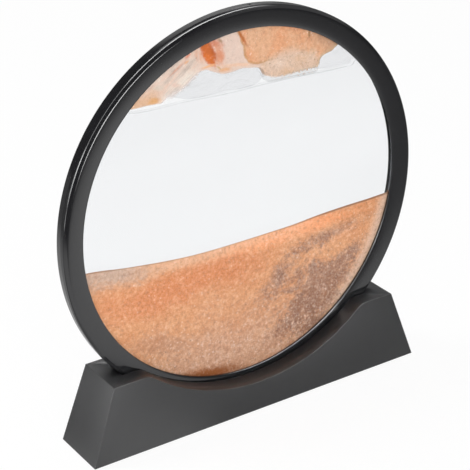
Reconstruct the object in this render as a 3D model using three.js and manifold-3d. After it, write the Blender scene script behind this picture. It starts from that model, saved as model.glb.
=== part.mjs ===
// A moving sand art frame: a round cell of liquid and sand, held in a two-part ring
// that stands in a grooved base. It can be lifted out, turned and set back.
// Millimetres, +Z up. X runs along the base, -Y is the front, Z is 0 under the feet.
import * as THREE from "three";
import { mergeVertices } from "three/addons/utils/BufferGeometryUtils.js";
import Module from "manifold-3d";

const wasm = await Module();
wasm.setup();

// Cell: two panes held apart by a spacer ring with a seal on each face
const CAVITY_DEPTH = 2.2;
const GLASS_THICKNESS = 1.1;
const SEAL_THICKNESS = 0.3;
const SPACER_WIDTH = 3.5;
const CELL_CLEARANCE = 0.3;

// Ring: two bezels around the cell
const RING_RADIUS = 90;
const RING_WALL = 3.7;
const FRONT_FACE_WIDTH = 9.5;
const REAR_FACE_WIDTH = 7.5;
const LIP_THICKNESS = 0.6;
const FACE_RISE = 1.5;
const SHOULDER_WIDTH = 1.5;
const SHOULDER_DROP = 1.3;
const SEAM_OFFSET = 1;
const TONGUE_HEIGHT = 1.3;
const TONGUE_THICKNESS = 1.3;
const TONGUE_CLEARANCE = 0.25;

// Fill plug in the rim
const PLUG_ANGLE = 87.6;
const PLUG_HEAD_DIAMETER = 1.4;
const PLUG_PIN_DIAMETER = 0.6;
const PLUG_CLEARANCE = 0.1;
const PLUG_SINK = 0.3;
const PLUG_TIP_GAP = 0.3;

// Sand and liquid
const FILL_FACE_GAP = 0.25;
const FILL_EDGE_GAP = 0.4;
const LAYER_GAP = 0.3;
const BED_LEFT_DROP = 9.6;
const BED_RIGHT_DROP = 13.8;
const AIR_DEPTH = 28.1;
const HANG_LEFT_RISE = 3.1;
const HANG_RIGHT_RISE = 9.8;

// Base
const BASE_HEIGHT = 35;
const BASE_WALL = 2;
const END_LAND = 7.75;
const END_RUN = 12.35;
const SHELF_DEPTH = 7.8;
const FRONT_DRAFT = 2;
const GROOVE_DEPTH = 8.1;
const GROOVE_SIDE_CLEARANCE = 0.4;
const GROOVE_FLOOR_CLEARANCE = 0.3;
const VALLEY_INSET = 3.2;
const VALLEY_ROUND = 8;

// Bottom cover with its screws and feet
const COVER_THICKNESS = 2.4;
const COVER_CLEARANCE = 0.3;
const TROUGH_GAP = 0.9;
const BOSS_DIAMETER = 6.5;
const BOSS_INSET = 7;
const SCREW_HEAD_DIAMETER = 5.2;
const SCREW_HEAD_HEIGHT = 1.2;
const SCREW_HEAD_RECESS = 1.4;
const SCREW_DIAMETER = 2.6;
const SCREW_LENGTH = 8;
const SCREW_TIP_LENGTH = 1.5;
const SCREW_CLEARANCE = 0.3;
const SCREW_SLOT_WIDTH = 0.7;
const SCREW_SLOT_LENGTH = 3;
const SCREW_SLOT_DEPTH = 0.6;
const FOOT_DIAMETER = 9;
const FOOT_THICKNESS = 1.6;
const FOOT_PROUD = 0.6;
const FOOT_CLEARANCE = 0.2;
const FOOT_END_INSET = 8;
const FOOT_SIDE_INSET = 6;

// Facets of the curves
const RING_SEGMENTS = 96;
const SMALL_SEGMENTS = 32;
const VALLEY_STEPS = 24;
const ROUND_STEPS = 4;
const ARC_STEPS = 28;
const EDGE_STEPS = 36;
const OVERRUN = 1;
const MERGE_DISTANCE = 1e-4;

// Heights in the stack of the cell, measured out from its middle plane
const cavityHalf = CAVITY_DEPTH / 2;
const spacerHalf = cavityHalf - SEAL_THICKNESS;
const glassFace = cavityHalf + GLASS_THICKNESS;
const lipFace = glassFace + LIP_THICKNESS;
const crestFace = lipFace + FACE_RISE;
const rimHalf = crestFace - SHOULDER_DROP;
const fillHalf = cavityHalf - FILL_FACE_GAP;

// Radii of the ring and the cell
const seatRadius = RING_RADIUS - RING_WALL;
const frontLipRadius = RING_RADIUS - FRONT_FACE_WIDTH;
const rearLipRadius = RING_RADIUS - REAR_FACE_WIDTH;
const crestRadius = RING_RADIUS - SHOULDER_WIDTH;
const tongueInner = seatRadius + (RING_WALL - TONGUE_THICKNESS) / 2;
const tongueOuter = tongueInner + TONGUE_THICKNESS;
const glassRadius = seatRadius - CELL_CLEARANCE;
const spacerRadius = glassRadius - SPACER_WIDTH;
const fillRadius = spacerRadius - FILL_EDGE_GAP;

// Heights in the base, measured up from its lower edge
const ringBottom = COVER_THICKNESS + TROUGH_GAP + BASE_WALL + GROOVE_FLOOR_CLEARANCE;
const ringCentre = ringBottom + RING_RADIUS;
const valleyFloor = ringBottom + GROOVE_DEPTH;
const valleyRadius = RING_RADIUS - VALLEY_INSET;
const valleyCentre = valleyFloor + valleyRadius;
const grooveRadius = RING_RADIUS + GROOVE_FLOOR_CLEARANCE;
const grooveHalf = crestFace + GROOVE_SIDE_CLEARANCE;
const grooveReach = halfChord(grooveRadius, ringCentre - BASE_HEIGHT);
const topHalfLength = grooveReach + END_LAND;
const topHalfDepth = grooveHalf + SHELF_DEPTH;

// Colours
const ringBlack = finish(0x17181a, 0.18);
const baseBlack = finish(0x2e2e2f, 0.55);
const sealBlack = finish(0x101011, 0.7);
const rubberBlack = finish(0x141414, 0.9);
const spacerGrey = finish(0x6f7174, 0.5);
const sandOrange = finish(0xdca078, 0.9);
const screwSteel = finish(0xa9abad, 0.35, 0.9);
const clearGlass = seeThrough(0xf2f6f6, 0.12);
const clearLiquid = seeThrough(0xf4f7f8, 0.1);

function finish(color, roughness, metalness = 0) {
  return new THREE.MeshStandardMaterial({ color, roughness, metalness });
}

function seeThrough(color, opacity) {
  return new THREE.MeshStandardMaterial({ color, opacity, transparent: true, roughness: 0.03 });
}

function halfChord(radius, distance) {
  return Math.sqrt(radius * radius - distance * distance);
}

// Solids for booleans, and back again

function solid(geometry) {
  const bare = new THREE.BufferGeometry();
  bare.setAttribute("position", geometry.getAttribute("position"));
  bare.setIndex(geometry.index);
  const merged = mergeVertices(bare, MERGE_DISTANCE);
  const vertProperties = merged.getAttribute("position").array;
  const triVerts = new Uint32Array(merged.index.array);
  return new wasm.Manifold(new wasm.Mesh({ numProp: 3, vertProperties, triVerts }));
}

function geometryOf(made) {
  const { vertProperties, triVerts } = made.getMesh();
  const geometry = new THREE.BufferGeometry();
  geometry.setAttribute("position", new THREE.BufferAttribute(vertProperties, 3));
  geometry.setIndex(new THREE.BufferAttribute(triVerts, 1));
  const faceted = geometry.toNonIndexed();
  faceted.computeVertexNormals();
  return faceted;
}

// A ring or disc turned about the Y axis, from its outline as [radius, y]
function turned(outline, segments = RING_SEGMENTS) {
  const points = outline.map(([radius, y]) => new THREE.Vector2(radius, y));
  return new THREE.LatheGeometry(points, segments);
}

function turnedRing(inner, outer, low, high) {
  return turned([
    [inner, low],
    [outer, low],
    [outer, high],
    [inner, high],
    [inner, low],
  ]);
}

function turnedDisc(radius, low, high) {
  return turned([
    [0, low],
    [radius, low],
    [radius, high],
    [0, high],
  ]);
}

// A plate standing in the XZ plane, centred on Y, from its outline in X and Z
function standingPlate(outline, thickness) {
  const shape = new THREE.Shape(outline);
  const plate = new THREE.ExtrudeGeometry(shape, { depth: thickness, bevelEnabled: false });
  plate.translate(0, 0, -thickness / 2);
  plate.rotateX(Math.PI / 2);
  return plate;
}

// An upright cylinder between two heights
function post(diameter, low, high) {
  const cylinder = new THREE.CylinderGeometry(diameter / 2, diameter / 2, high - low, SMALL_SEGMENTS);
  cylinder.rotateX(Math.PI / 2);
  cylinder.translate(0, 0, (low + high) / 2);
  return cylinder;
}

// The base's tapering block between two heights, drawn in by an inset all round
function taperedBlock(low, high, inset) {
  const block = new THREE.BoxGeometry(2, 2, high - low);
  block.translate(0, 0, (low + high) / 2);
  const position = block.getAttribute("position");
  for (let i = 0; i < position.count; i++) {
    const z = position.getZ(i);
    const down = 1 - z / BASE_HEIGHT;
    const halfLength = topHalfLength + END_RUN * down - inset;
    const halfDepth = topHalfDepth + FRONT_DRAFT * down - inset;
    position.setXYZ(i, position.getX(i) * halfLength, position.getY(i) * halfDepth, z);
  }
  return block;
}

function arc(centreX, centreY, radius, from, to, steps) {
  const points = [];
  for (let i = 0; i <= steps; i++) {
    const angle = from + ((to - from) * i) / steps;
    points.push(new THREE.Vector2(centreX + radius * Math.cos(angle), centreY + radius * Math.sin(angle)));
  }
  return points;
}

function place(group, name, geometry, material, x = 0, y = 0, z = 0) {
  const mesh = new THREE.Mesh(geometry, material);
  mesh.name = name;
  mesh.position.set(x, y, z);
  group.add(mesh);
}

// Ring: each bezel is one outline, drawn out from the seam and then laid to the front or the rear

function bezel(side, lipRadius, seam, stepInner, stepOuter, stepHeight) {
  const outline = [
    [seatRadius, seam],
    [seatRadius, glassFace],
    [lipRadius, glassFace],
    [lipRadius, lipFace],
    [crestRadius, crestFace],
    [RING_RADIUS, rimHalf],
    [RING_RADIUS, seam],
    [stepOuter, seam],
    [stepOuter, stepHeight],
    [stepInner, stepHeight],
    [stepInner, seam],
    [seatRadius, seam],
  ];
  const laid = outline.map(([radius, height]) => [radius, side * height]);
  return turned(side > 0 ? laid.reverse() : laid);
}

function frontBezel() {
  const clear = TONGUE_CLEARANCE;
  const slotTop = SEAM_OFFSET + TONGUE_HEIGHT + clear;
  return bezel(-1, frontLipRadius, SEAM_OFFSET, tongueInner - clear, tongueOuter + clear, slotTop);
}

function rearBezel() {
  return bezel(1, rearLipRadius, -SEAM_OFFSET, tongueInner, tongueOuter, -SEAM_OFFSET - TONGUE_HEIGHT);
}

// The fill plug lies along a radius: a head in the rim and a pin through the spacer ring
function plugShape(headFrom, headTo, pinFrom, clearance) {
  const head = PLUG_HEAD_DIAMETER / 2 + clearance;
  const pin = PLUG_PIN_DIAMETER / 2 + clearance;
  const outline = [
    [0, pinFrom],
    [pin, pinFrom],
    [pin, headFrom],
    [head, headFrom],
    [head, headTo],
    [0, headTo],
  ];
  const along = turned(outline, SMALL_SEGMENTS);
  along.rotateZ(-Math.PI / 2);
  return along.rotateY(-THREE.MathUtils.degToRad(PLUG_ANGLE));
}

function plugHole() {
  const headFrom = seatRadius - CELL_CLEARANCE / 2;
  return solid(plugShape(headFrom, RING_RADIUS + OVERRUN, spacerRadius - OVERRUN, PLUG_CLEARANCE));
}

function fillPlug() {
  const headTo = RING_RADIUS - PLUG_SINK;
  return plugShape(seatRadius + PLUG_CLEARANCE, headTo, spacerRadius + PLUG_TIP_GAP, 0);
}

// Sand and liquid, drawn in X and Z from the centre of the ring

function onWall(side, height) {
  return new THREE.Vector2(side * halfChord(fillRadius, height), height);
}

function wallAngle(point) {
  return Math.atan2(point.y, point.x);
}

// A line between two points on the wall, through points given as [share of the way, height]
function surface(left, right, between) {
  const width = right.x - left.x;
  const inner = between.map(([share, height]) => new THREE.Vector2(left.x + width * share, height));
  return new THREE.SplineCurve([left, ...inner, right]).getPoints(EDGE_STEPS);
}

// The bed slopes down from the left wall to a shallow dip and rises a little to the right
const bedLine = surface(onWall(-1, -BED_LEFT_DROP), onWall(1, -BED_RIGHT_DROP), [
  [0.13, -13],
  [0.29, -16],
  [0.48, -16.5],
  [0.67, -15.5],
  [0.85, -14.5],
]);
const liquidLevel = fillRadius - AIR_DEPTH;

// The lower edge of the hanging sand, as heights over the liquid: high in the middle, a lobe on the right
const hangLine = surface(
  onWall(-1, liquidLevel + HANG_LEFT_RISE),
  onWall(1, liquidLevel + HANG_RIGHT_RISE),
  [
    [0.15, 3.5],
    [0.22, 7],
    [0.3, 10.5],
    [0.35, 13.8],
    [0.42, 10.6],
    [0.5, 9.4],
    [0.63, 8],
    [0.66, 3.6],
    [0.72, 1.7],
    [0.82, 1.4],
    [0.89, 1.2],
    [0.92, 5.8],
  ].map(([share, rise]) => [share, liquidLevel + rise]),
);

function sandBed() {
  const left = bedLine[0];
  const right = bedLine[bedLine.length - 1];
  const below = arc(0, 0, fillRadius, wallAngle(right), wallAngle(left), ARC_STEPS);
  return standingPlate([...bedLine, ...below.slice(1, -1)], 2 * fillHalf);
}

function liquidFill() {
  const lower = bedLine.map((point) => new THREE.Vector2(point.x, point.y + LAYER_GAP));
  const left = onWall(-1, -BED_LEFT_DROP + LAYER_GAP);
  const right = onWall(1, -BED_RIGHT_DROP + LAYER_GAP);
  const levelAngle = wallAngle(onWall(1, liquidLevel));
  const rightWall = arc(0, 0, fillRadius, wallAngle(right), levelAngle, ARC_STEPS);
  const leftWall = arc(0, 0, fillRadius, Math.PI - levelAngle, wallAngle(left) + 2 * Math.PI, ARC_STEPS);
  return standingPlate([...lower.slice(1, -1), ...rightWall, ...leftWall], 2 * fillHalf);
}

function hangingSand() {
  const left = hangLine[0];
  const right = hangLine[hangLine.length - 1];
  const above = arc(0, 0, fillRadius, wallAngle(right), wallAngle(left), ARC_STEPS);
  return standingPlate([...hangLine, ...above.slice(1, -1)], 2 * fillHalf);
}

// Base: a hollow shell, open below, with the valley and the ring's groove cut into it

// The valley's floor is one arc, and a round at each end leads it out onto the flat top
function valleyCut(radius, round, top, length) {
  const roundHeight = top - round;
  const roundX = halfChord(radius + round, valleyCentre - roundHeight);
  const tilt = Math.atan2(roundX, valleyCentre - roundHeight);
  const down = -Math.PI / 2;
  const rightRound = arc(roundX, roundHeight, round, Math.PI / 2, Math.PI / 2 + tilt, ROUND_STEPS);
  const floor = arc(0, valleyCentre, radius, down + tilt, down - tilt, VALLEY_STEPS);
  const leftRound = rightRound.map((point) => new THREE.Vector2(-point.x, point.y)).reverse();
  const over = [
    new THREE.Vector2(-roundX, top + OVERRUN),
    new THREE.Vector2(roundX, top + OVERRUN),
  ];
  return solid(standingPlate([...over, ...rightRound, ...floor.slice(1, -1), ...leftRound], length));
}

function grooveCut(radius, half) {
  return solid(turnedDisc(radius, -half, half)).translate([0, 0, ringCentre]);
}

const screwX = topHalfLength - BOSS_INSET;
const ends = [
  ["left", -1],
  ["right", 1],
];
const sides = [
  ["front", -1],
  ["rear", 1],
];

function baseShell() {
  const through = 2 * (topHalfDepth + FRONT_DRAFT + OVERRUN);
  const roof = BASE_HEIGHT - BASE_WALL;
  let hollow = solid(taperedBlock(-OVERRUN, roof, BASE_WALL));
  hollow = hollow.subtract(valleyCut(valleyRadius + BASE_WALL, VALLEY_ROUND - BASE_WALL, roof, through));
  hollow = hollow.subtract(grooveCut(grooveRadius + BASE_WALL, grooveHalf + BASE_WALL));
  for (const [, side] of ends) {
    const boss = solid(post(BOSS_DIAMETER, COVER_THICKNESS, roof + OVERRUN));
    hollow = hollow.subtract(boss.translate([side * screwX, 0, 0]));
  }
  let shell = solid(taperedBlock(0, BASE_HEIGHT, 0)).subtract(hollow);
  shell = shell.subtract(valleyCut(valleyRadius, VALLEY_ROUND, BASE_HEIGHT, through));
  shell = shell.subtract(grooveCut(grooveRadius, grooveHalf));
  const pilotTop = SCREW_HEAD_RECESS + SCREW_LENGTH + OVERRUN;
  const pilot = solid(post(SCREW_DIAMETER + 2 * SCREW_CLEARANCE, 0, pilotTop));
  for (const [, side] of ends) {
    shell = shell.subtract(pilot.translate([side * screwX, 0, 0]));
  }
  return geometryOf(shell);
}

const footX = topHalfLength + END_RUN - BASE_WALL - COVER_CLEARANCE - FOOT_END_INSET;
const footY = topHalfDepth + FRONT_DRAFT - BASE_WALL - COVER_CLEARANCE - FOOT_SIDE_INSET;

function bottomCover() {
  let cover = solid(taperedBlock(0, COVER_THICKNESS, BASE_WALL + COVER_CLEARANCE));
  const recess = solid(post(SCREW_HEAD_DIAMETER + 2 * SCREW_CLEARANCE, -OVERRUN, SCREW_HEAD_RECESS));
  const hole = solid(post(SCREW_DIAMETER + 2 * SCREW_CLEARANCE, -OVERRUN, COVER_THICKNESS + OVERRUN));
  const pocket = solid(post(FOOT_DIAMETER + 2 * FOOT_CLEARANCE, -OVERRUN, FOOT_THICKNESS - FOOT_PROUD));
  for (const [, side] of ends) {
    cover = cover.subtract(recess.translate([side * screwX, 0, 0]));
    cover = cover.subtract(hole.translate([side * screwX, 0, 0]));
    for (const [, face] of sides) {
      cover = cover.subtract(pocket.translate([side * footX, face * footY, 0]));
    }
  }
  return geometryOf(cover);
}

// A pan-head screw with a cross slot, its head seated in the cover and its tip up in the boss
function coverScrew() {
  const seat = SCREW_HEAD_RECESS;
  const headLow = seat - SCREW_HEAD_HEIGHT;
  const radius = SCREW_DIAMETER / 2;
  const outline = [
    [0, headLow],
    [SCREW_HEAD_DIAMETER / 2, headLow],
    [SCREW_HEAD_DIAMETER / 2, seat],
    [radius, seat],
    [radius, seat + SCREW_LENGTH - SCREW_TIP_LENGTH],
    [0, seat + SCREW_LENGTH],
  ];
  let screw = solid(turned(outline, SMALL_SEGMENTS).rotateX(Math.PI / 2));
  const slotHigh = headLow + SCREW_SLOT_DEPTH;
  const slot = new THREE.BoxGeometry(SCREW_SLOT_LENGTH, SCREW_SLOT_WIDTH, slotHigh + OVERRUN);
  slot.translate(0, 0, (slotHigh - OVERRUN) / 2);
  screw = screw.subtract(solid(slot));
  screw = screw.subtract(solid(slot.rotateZ(Math.PI / 2)));
  return geometryOf(screw);
}

function foot() {
  const top = FOOT_THICKNESS - FOOT_PROUD;
  return post(FOOT_DIAMETER, -FOOT_PROUD, top);
}

// Assembly
const group = new THREE.Group();

const base = new THREE.Group();
base.position.z = FOOT_PROUD;
group.add(base);
place(base, "base_shell", baseShell(), baseBlack);
place(base, "bottom_cover", bottomCover(), baseBlack);
for (const [end, side] of ends) {
  place(base, `cover_screw_${end}`, coverScrew(), screwSteel, side * screwX);
  for (const [face, depth] of sides) {
    place(base, `foot_${face}_${end}`, foot(), rubberBlack, side * footX, depth * footY);
  }
}

const disc = new THREE.Group();
disc.position.z = FOOT_PROUD + ringCentre;
group.add(disc);
place(disc, "front_bezel", frontBezel(), ringBlack);
place(disc, "rear_bezel", geometryOf(solid(rearBezel()).subtract(plugHole())), ringBlack);
place(disc, "front_glass", turnedDisc(glassRadius, -glassFace, -cavityHalf), clearGlass);
place(disc, "rear_glass", turnedDisc(glassRadius, cavityHalf, glassFace), clearGlass);
const spacer = solid(turnedRing(spacerRadius, glassRadius, -spacerHalf, spacerHalf));
place(disc, "spacer_ring", geometryOf(spacer.subtract(plugHole())), spacerGrey);
place(disc, "front_seal", turnedRing(spacerRadius, glassRadius, -cavityHalf, -spacerHalf), sealBlack);
place(disc, "rear_seal", turnedRing(spacerRadius, glassRadius, spacerHalf, cavityHalf), sealBlack);
place(disc, "fill_plug", fillPlug(), rubberBlack);

const fill = new THREE.Group();
fill.position.z = FOOT_PROUD + ringCentre;
group.add(fill);
place(fill, "clear_liquid", liquidFill(), clearLiquid);
place(fill, "sand_bed", sandBed(), sandOrange);
place(fill, "hanging_sand", hangingSand(), sandOrange);

export default group;
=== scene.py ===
import math
import random

import bmesh
import bpy
from mathutils import Matrix, Vector


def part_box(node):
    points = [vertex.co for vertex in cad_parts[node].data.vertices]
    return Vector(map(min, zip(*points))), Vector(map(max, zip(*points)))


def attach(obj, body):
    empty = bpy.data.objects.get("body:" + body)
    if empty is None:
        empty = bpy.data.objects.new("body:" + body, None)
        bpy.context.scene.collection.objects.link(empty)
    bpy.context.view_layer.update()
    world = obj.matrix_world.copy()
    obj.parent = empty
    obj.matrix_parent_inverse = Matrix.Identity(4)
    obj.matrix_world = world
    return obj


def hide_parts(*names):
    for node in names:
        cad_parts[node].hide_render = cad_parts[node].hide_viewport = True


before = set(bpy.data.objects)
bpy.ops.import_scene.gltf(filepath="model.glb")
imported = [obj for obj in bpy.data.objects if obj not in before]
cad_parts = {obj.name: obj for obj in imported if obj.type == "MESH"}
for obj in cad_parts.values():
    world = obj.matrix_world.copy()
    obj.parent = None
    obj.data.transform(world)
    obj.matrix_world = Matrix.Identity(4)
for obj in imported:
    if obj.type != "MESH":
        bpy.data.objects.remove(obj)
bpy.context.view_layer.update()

MM = 0.001

# Sizes read from the frame
ring_low, ring_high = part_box("front_bezel")
rear_low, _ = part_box("rear_bezel")
pane_low, pane_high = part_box("front_glass")
_, spacer_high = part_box("spacer_ring")
plug_low, plug_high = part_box("fill_plug")
shell_low, shell_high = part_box("base_shell")
DISC_Z = (ring_low.z + ring_high.z) / 2
RING_RADIUS = (ring_high.x - ring_low.x) / 2
CREST_FACE = -ring_low.y
SEAM_Y = ring_high.y
TONGUE_HEIGHT = SEAM_Y - rear_low.y
PANE_OUTER_FACE = -pane_low.y
PANE_INNER_FACE = -pane_high.y
SPACER_RADIUS = spacer_high.x
SPACER_HALF = spacer_high.y
PLUG_Y = (plug_low.y + plug_high.y) / 2

# Ring section
SEAT_RADIUS = 86.3 * MM
FRONT_LIP_RADIUS = 80.5 * MM
REAR_LIP_RADIUS = 82.5 * MM
LIP_FACE = PANE_OUTER_FACE + 0.6 * MM
CREST_RADIUS = 88.5 * MM
RIM_HALF = 3.0 * MM
FRONT_DRAFT = 0.05 * MM
REAR_DRAFT = 0.25 * MM
FACE_CROWN = 0.15 * MM
FACE_STEPS = 6
TONGUE_INNER = 87.5 * MM
TONGUE_OUTER = 88.8 * MM
TONGUE_CLEARANCE = 0.25 * MM
CELL_RADIUS = 82.5 * MM
SHOULDER_EASE = 0.35 * MM
LIP_EASE = 0.04 * MM
LIP_FACET_DROP = 0.21 * MM
LIP_FACET_RUN = 0.10 * MM
SEAM_EASE = 0.12 * MM
SPACER_EASE = 0.1 * MM
SEAL_EASE = 0.05 * MM
PLUG_ANGLE = math.radians(87.6)
PLUG_HOLE_RADIUS = 0.8 * MM
PLUG_HOLE_REACH = 6 * MM
PLUG_HOLE_SEGMENTS = 32
TURN_SEGMENTS = 384
EASE_STEPS = 5
LIP_EASE_STEPS = 3
FLAT_EASE_STEPS = 1
SAME_PLACE = 0.01 * MM
WELD_REACH = 0.001 * MM

# Base edges
BASE_TOP_HALF_DEPTH = 12.5 * MM
BASE_TOP_HALF_LENGTH = 74.7 * MM
BASE_EDGE_EASE = 0.12 * MM
SHELL_WELD_REACH = 0.002 * MM
SKIN_REACH = 0.1 * MM
FLAT_ANGLE = math.radians(0.4)
SHARP_EDGE = math.radians(25)
SMOOTH_ANGLE = math.radians(38)

# Fill of the cell: lines in millimetres from the disc's centre
FILL_HALF = PANE_INNER_FACE - 0.04 * MM
FILL_RADIUS = CELL_RADIUS - 0.1 * MM
FILM_HALF = 0.012 * MM
FILM_Y = FILL_HALF + 0.02 * MM
BED_LINE = [
    (-79.3, -9.6), (-58.7, -12.7), (-33.6, -15.6), (-20.6, -16.3), (-2.8, -16.4), (12.3, -16.2),
    (26.1, -15.9), (40.3, -14.9), (54.7, -14.4), (69.4, -14.2), (79.5, -13.8),
]
LEVEL_LINE = [
    (-57.5, 56.6), (-54.5, 55.8), (-43.7, 54.8), (-31.5, 54.9), (-7.1, 54.0), (14.3, 54.1),
    (32.3, 53.6), (53.0, 53.0), (57.4, 53.2), (58.6, 54.8),
]
HANGING_LINE = [
    (-57.0, 57.4), (-54.4, 56.7), (-47.0, 56.6), (-41.2, 56.2), (-37.5, 55.8), (-34.4, 56.3),
    (-29.5, 58.4), (-25.2, 61.4), (-22.2, 64.6), (-19.0, 66.0), (-16.5, 65.1), (-12.6, 63.4),
    (-8.5, 62.3), (-4.5, 62.5), (-1.0, 62.9), (2.5, 62.4), (6.5, 61.8), (9.2, 60.0), (10.3, 57.9),
    (11.8, 56.0), (15.5, 54.9), (18.9, 54.5), (24.0, 54.4), (29.6, 54.4), (34.0, 54.3),
    (37.7, 54.6), (39.2, 56.8), (40.4, 59.4), (43.0, 60.6), (45.8, 61.2), (47.6, 62.4), (50.0, 63.8),
]
FILM_LINE = [
    (-57.5, 58.8), (-54.5, 58.2), (-43.7, 57.4), (-35.0, 57.4), (-27.0, 54.9), (-7.1, 54.1),
    (8.0, 54.2), (11.5, 56.4), (32.3, 56.2), (42.0, 53.6), (53.0, 53.1), (57.4, 53.3), (58.6, 54.9),
]
LINE_RUN_OUT = 10
LINE_STEPS = 10
LAYER_GAP = 0.05
HANGING_MARGIN = 1.0
LEVEL_CLEARANCE = 0.1
WALL_REACH = 0.02 * MM
BED_BACK_DROP = 1.5 * MM
BELOW_CELL = [(110, -100, False), (-110, -100, False)]
ABOVE_CELL = [(110, 100, False), (-110, 100, False)]

# Loose grains: each fall is from x, to x, how many and how far they spread, in millimetres
GRAIN_FALLS = ((14, 40, 70, 2.4), (-50, -22, 12, 1.8), (-20, 8, 10, 0.8))
GRAIN_START = 1.6
GRAIN_CLEARANCE = 0.4
GRAIN_LEAST_RADIUS = 0.10 * MM
GRAIN_MORE_RADIUS = 0.14 * MM
GRAIN_LEAST_SIDE = 0.7
GRAIN_MOST_SIDES = (1.2, 1.0, 1.2)
GRAIN_SEED = 7


def colour(red, green, blue):
    """A linear colour from screen values of 0 to 255."""
    def linear(value):
        share = value / 255
        return share / 12.92 if share <= 0.04045 else ((share + 0.055) / 1.055) ** 2.4
    return (linear(red), linear(green), linear(blue), 1)


class Value:
    """A node's output. Arithmetic on it adds Math nodes to the same tree."""

    def __init__(self, nodes, socket):
        self.nodes = nodes
        self.socket = socket

    def math(self, operation, *terms):
        return self.nodes.node("ShaderNodeMath", {"operation": operation}, dict(enumerate(terms)))

    def __add__(self, other):
        return self.math("ADD", self, other)

    __radd__ = __add__

    def __sub__(self, other):
        return self.math("SUBTRACT", self, other)

    def __rsub__(self, other):
        return self.math("SUBTRACT", other, self)

    def __mul__(self, other):
        return self.math("MULTIPLY", self, other)

    __rmul__ = __mul__

    def __truediv__(self, other):
        return self.math("DIVIDE", self, other)

    def __rtruediv__(self, other):
        return self.math("DIVIDE", other, self)

    def __pow__(self, other):
        return self.math("POWER", self, other)

    def __abs__(self):
        return self.math("ABSOLUTE", self)

    def most(self, other):
        return self.math("MAXIMUM", self, other)


class Nodes:
    """The node tree of a material or the world."""

    def __init__(self, tree):
        self.tree = tree
        self.tree.nodes.clear()

    def node(self, kind, settings=None, sockets=None, output=0):
        """Adds a node of any kind, sets it up, sets or links its sockets and gives one output."""
        node = self.tree.nodes.new(kind)
        for name, setting in (settings or {}).items():
            if name == "curve_points":
                points = node.mapping.curves[0].points
                points[0].location = setting[0]
                points[1].location = setting[-1]
                for place in setting[1:-1]:
                    points.new(*place)
                node.mapping.extend = "HORIZONTAL"
                node.mapping.update()
            else:
                setattr(node, name, setting)
        for name, value in (sockets or {}).items():
            if isinstance(value, Value):
                self.tree.links.new(value.socket, node.inputs[name])
            else:
                node.inputs[name].default_value = value
        if node.outputs:
            return Value(self, node.outputs[output])

    def place(self, centre=(0, 0, 0), turn=0.0, stretch=(1, 1, 1)):
        """Object coordinates about a centre, turned about Y, in units of the stretch."""
        where = self.node("ShaderNodeTexCoord", output="Object")
        return self.node("ShaderNodeMapping", {"vector_type": "TEXTURE"}, {
            "Vector": where,
            "Location": centre,
            "Rotation": (0, turn, 0),
            "Scale": stretch,
        })

    def apart(self, vector):
        """The three parts of a vector."""
        first = self.node("ShaderNodeSeparateXYZ", None, {0: vector})
        return [Value(self, output) for output in first.socket.node.outputs]

    def on_disc(self):
        """Places measured from the disc's centre."""
        return self.place((0, 0, DISC_Z))

    def noise(self, vector, scale, detail, roughness, distortion=0.0, output="Fac"):
        return self.node("ShaderNodeTexNoise", None, {
            "Vector": vector,
            "Scale": scale,
            "Detail": detail,
            "Roughness": roughness,
            "Distortion": distortion,
        }, output)

    def cells(self, scale):
        """Grains: three random numbers for each cell."""
        sockets = {"Vector": self.place(), "Scale": scale}
        return self.apart(self.node("ShaderNodeTexVoronoi", {"feature": "F1"}, sockets, "Color"))

    def rise(self, value, low, high):
        """0 below low and 1 above high, with a smooth step between. Low may be the larger."""
        return self.node("ShaderNodeMapRange", {"interpolation_type": "SMOOTHSTEP"}, {
            "Value": value,
            "From Min": low,
            "From Max": high,
        })

    def zone(self, *limits):
        """1 where all values are past their limits of (value, where it sets in, where it is full)."""
        return math.prod(self.rise(*limit) for limit in limits)

    def mix(self, factor, first, second):
        """A colour between two others, through the Mix node's colour sockets."""
        return self.node("ShaderNodeMix", {"data_type": "RGBA"}, {0: factor, 6: first, 7: second}, 2)

    def sum(self, first, second):
        return self.node("ShaderNodeVectorMath", {"operation": "ADD"}, {0: first, 1: second})

    def scaled(self, vector, factor):
        return self.node("ShaderNodeVectorMath", {"operation": "SCALE"}, {0: vector, "Scale": factor})

    def length(self, vector):
        return self.node("ShaderNodeVectorMath", {"operation": "LENGTH"}, {0: vector}, "Value")

    def bump(self, height, strength, distance):
        return self.node("ShaderNodeBump", None, {
            "Height": height,
            "Strength": strength,
            "Distance": distance,
        })

    def ray(self, kind):
        """1 for rays of a kind, and 0 for others."""
        return self.node("ShaderNodeLightPath", output="Is " + kind + " Ray")

    def skin(self, sockets):
        return self.node("ShaderNodeBsdfPrincipled", None, sockets)

    def see_through(self, tint, share, skin):
        """Clear stuff that passes a tint, with a share of skin over it."""
        clear = self.node("ShaderNodeBsdfTransparent", None, {"Color": (*tint, 1)})
        return self.node("ShaderNodeMixShader", None, {0: share, 1: clear, 2: skin})

    def output(self, shader, kind="ShaderNodeOutputMaterial"):
        self.node(kind, None, {"Surface": shader})


def new_material(name):
    """A new material with an empty node tree."""
    material = bpy.data.materials.new(name)
    material.use_nodes = True
    return material, Nodes(material.node_tree)


# Materials


def polished_ring_black():
    """Black moulded plastic with a polished skin, faint flow marks and fine dust."""
    material, n = new_material("polished_ring_black")
    flow = n.noise(n.place(), 55, 3, 0.55, 0.4)
    dust = n.noise(n.place(), 2600, 1, 0.6)
    specks = n.rise(dust, 0.68, 0.78)
    base = n.mix(specks * 0.25, n.mix(flow, colour(20, 20, 22), colour(26, 26, 28)), colour(92, 92, 94))
    roughness = 0.09 + flow * 0.05 + specks * 0.12
    peel = n.noise(n.place(), 420, 2, 0.5)
    n.output(n.skin({
        "Base Color": base,
        "Roughness": roughness,
        "IOR": 1.49,
        "Normal": n.bump(peel, 0.01, 0.1 * MM),
    }))
    return material


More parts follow.
